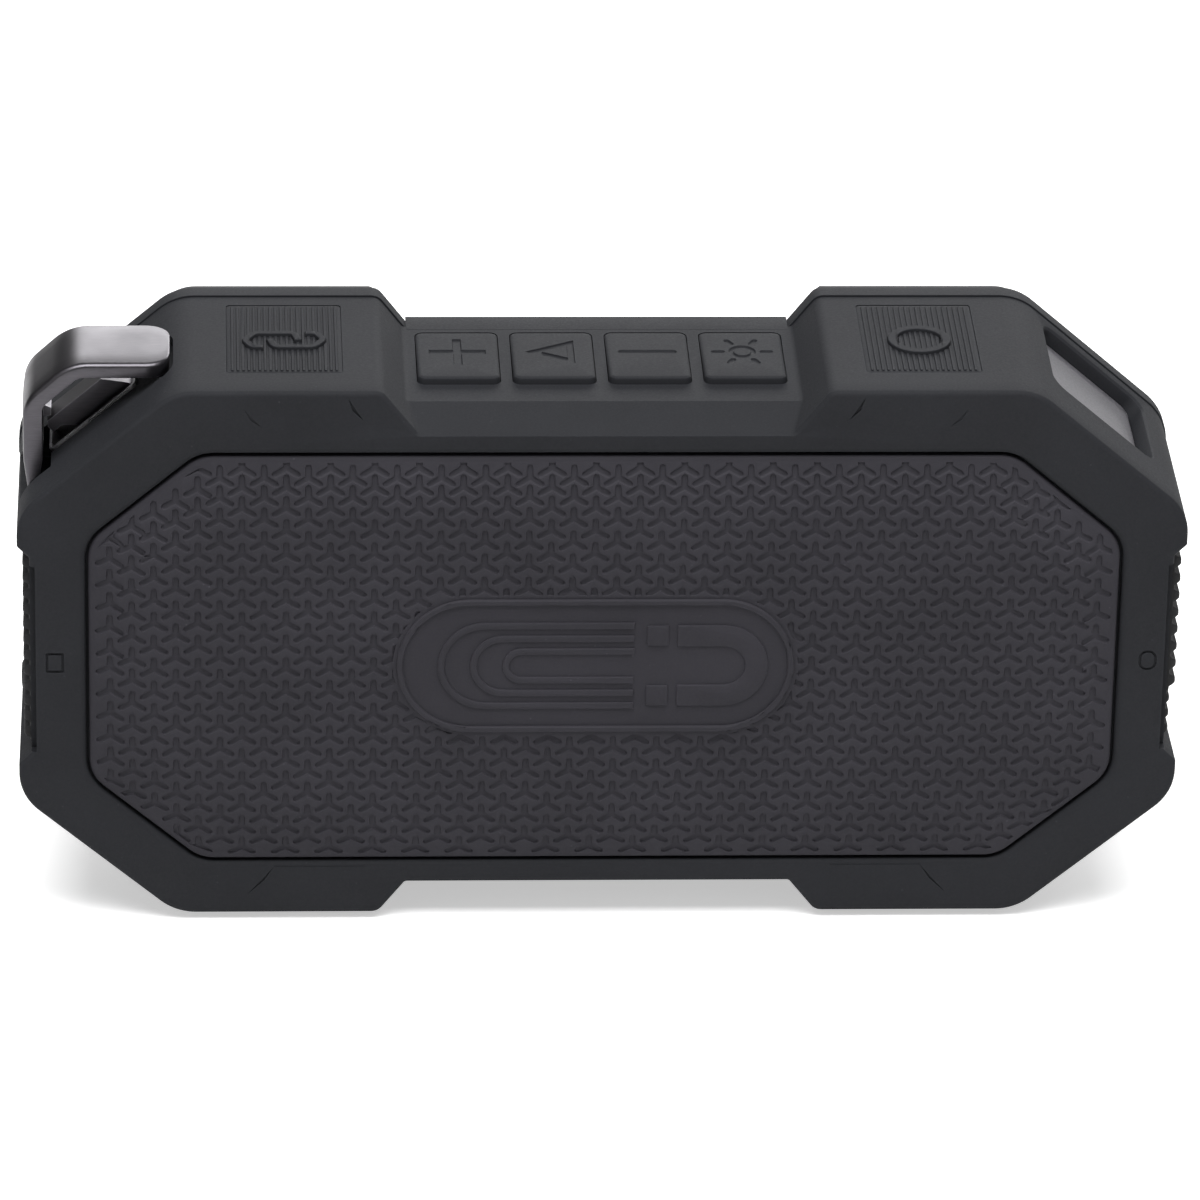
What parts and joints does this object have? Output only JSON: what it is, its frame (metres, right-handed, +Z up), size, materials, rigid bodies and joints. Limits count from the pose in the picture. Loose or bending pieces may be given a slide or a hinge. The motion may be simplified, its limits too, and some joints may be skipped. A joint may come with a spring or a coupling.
{
  "type": "portable speaker",
  "caption": "Rugged octagonal portable speaker with magnetic rubber back, top keys, corner carabiner hook with sprung gate, corner lamp, side port cover and front grille.",
  "frame": {"origin": "bottom centre of the bounding box, with the speaker standing on its lower bumpers", "axes": "+X to the right along the length when the magnetic back is seen, +Y from the magnetic back to the grille, +Z up to the keys"},
  "size_m": [0.1906, 0.0518, 0.0965],
  "materials": {
    "housing_rubber": "fine matt grain",
    "panel_rubber": "matt, moulded tread",
    "grille_metal": "satin black",
    "hook_metal": "gunmetal satin",
    "steel": "bright",
    "magnet_nickel": "nickel plated",
    "ferrite": "ground",
    "black_plastic": "moulded",
    "soft_rubber": "matt",
    "paper_cone": "pressed fibre",
    "lens": "frosted",
    "board_green": "solder mask",
    "cell_wrap": "shrink wrap",
    "mesh_cloth": "woven"
  },
  "bodies": {
    "housing": {"rear_housing": "housing_rubber", "housing_seal": "soft_rubber", "front_bezel": "housing_rubber", "magnet_panel": "panel_rubber", "magnet_left": "magnet_nickel", "magnet_right": "magnet_nickel", "keeper_plate": "steel", "front_grille": "grille_metal", "dust_mesh": "mesh_cloth", "baffle": "black_plastic", "case_screw_1": "steel", "case_screw_2": "steel", "case_screw_3": "steel", "case_screw_4": "steel", "driver_basket_left": "black_plastic", "driver_magnet_left": "ferrite", "driver_surround_left": "soft_rubber", "driver_basket_right": "black_plastic", "driver_magnet_right": "ferrite", "driver_surround_right": "soft_rubber", "radiator_frame": "black_plastic", "radiator_surround": "soft_rubber", "battery_cell_left": "cell_wrap", "battery_cell_right": "cell_wrap", "battery_tray": "black_plastic", "main_board": "board_green", "amplifier_chip": "black_plastic", "radio_module": "steel", "key_board": "board_green", "port_board": "board_green", "usb_socket": "steel", "audio_jack": "black_plastic", "switch_volume_up": "steel", "switch_play": "steel", "switch_volume_down": "steel", "switch_light": "steel", "switch_link": "steel", "switch_power": "steel", "lamp_lens": "lens", "lamp_board": "board_green", "carabiner_hook": "hook_metal", "gate_liner": "hook_metal", "gate_pin": "steel", "gate_spring": "steel", "grip_insert": "soft_rubber", "port_grip": "soft_rubber"},
    "volume_up_key": {"volume_up_key": "housing_rubber"},
    "play_key": {"play_key": "housing_rubber"},
    "volume_down_key": {"volume_down_key": "housing_rubber"},
    "light_key": {"light_key": "housing_rubber"},
    "link_key": {"link_key": "housing_rubber"},
    "power_key": {"power_key": "housing_rubber"},
    "carabiner_gate": {"carabiner_gate": "hook_metal"},
    "port_cover": {"port_cover": "soft_rubber"},
    "cone_left": {"driver_cone_left": "paper_cone"},
    "cone_right": {"driver_cone_right": "paper_cone"},
    "radiator": {"radiator_plate": "steel"}
  },
  "joints": [
    {"name": "volume_up_press", "type": "slide", "parent": "housing", "child": "volume_up_key", "axis": [0, 0, -1], "range_m": [0, 0.0008], "stiffness_N_per_m": 400},
    {"name": "play_press", "type": "slide", "parent": "housing", "child": "play_key", "axis": [0, 0, -1], "range_m": [0, 0.0008], "stiffness_N_per_m": 400},
    {"name": "volume_down_press", "type": "slide", "parent": "housing", "child": "volume_down_key", "axis": [0, 0, -1], "range_m": [0, 0.0008], "stiffness_N_per_m": 400},
    {"name": "light_press", "type": "slide", "parent": "housing", "child": "light_key", "axis": [0, 0, -1], "range_m": [0, 0.0008], "stiffness_N_per_m": 400},
    {"name": "link_press", "type": "slide", "parent": "housing", "child": "link_key", "axis": [0, 0, -1], "range_m": [0, 0.0005], "stiffness_N_per_m": 600},
    {"name": "power_press", "type": "slide", "parent": "housing", "child": "power_key", "axis": [0, 0, -1], "range_m": [0, 0.0005], "stiffness_N_per_m": 600},
    {"name": "gate_swing", "type": "hinge", "parent": "housing", "child": "carabiner_gate", "pos_m": [-0.07655, -0.005, 0.08819], "axis": [0, -1, 0], "range_deg": [0, 20], "stiffness_Nm_per_rad": 0.02},
    {"name": "port_cover_swing", "type": "hinge", "parent": "housing", "child": "port_cover", "pos_m": [0.0936, -0.00575, 0.04035], "axis": [0, 1, 0], "range_deg": [0, 110]},
    {"name": "cone_left_stroke", "type": "slide", "parent": "housing", "child": "cone_left", "axis": [0, 1, 0], "range_m": [-0.001, 0.001], "stiffness_N_per_m": 900, "deforming": ["driver_surround_left"]},
    {"name": "cone_right_stroke", "type": "slide", "parent": "housing", "child": "cone_right", "axis": [0, 1, 0], "range_m": [-0.001, 0.001], "stiffness_N_per_m": 900, "deforming": ["driver_surround_right"]},
    {"name": "radiator_stroke", "type": "slide", "parent": "housing", "child": "radiator", "axis": [0, 1, 0], "range_m": [-0.0015, 0.0015], "stiffness_N_per_m": 500, "deforming": ["radiator_surround"]}
  ]
}
